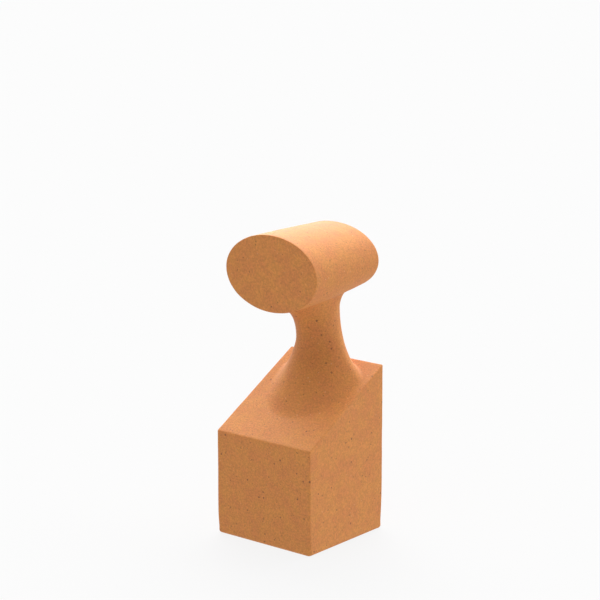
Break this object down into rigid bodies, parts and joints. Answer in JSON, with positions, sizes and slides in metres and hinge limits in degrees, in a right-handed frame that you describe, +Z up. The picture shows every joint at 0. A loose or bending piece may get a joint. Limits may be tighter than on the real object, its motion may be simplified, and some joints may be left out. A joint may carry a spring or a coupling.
{
  "type": "ceramic muse sculpture",
  "caption": "Abstract ceramic bust: a square block with a sloping top, a flared round neck near its back edge and a lying oval drum as the head. Stands on its flat underside.",
  "frame": {"origin": "middle of the flat underside", "axes": "+Z up, -Y towards the side that the head's oval front face and the low end of the sloping top look to, X across the width"},
  "size_m": [0.0776, 0.0758, 0.201],
  "materials": {
    "stoneware": "matt unglazed ochre stoneware with fine dark and pale specks"
  },
  "bodies": {
    "root": {"muse_sculpture": "stoneware"}
  },
  "joints": []
}
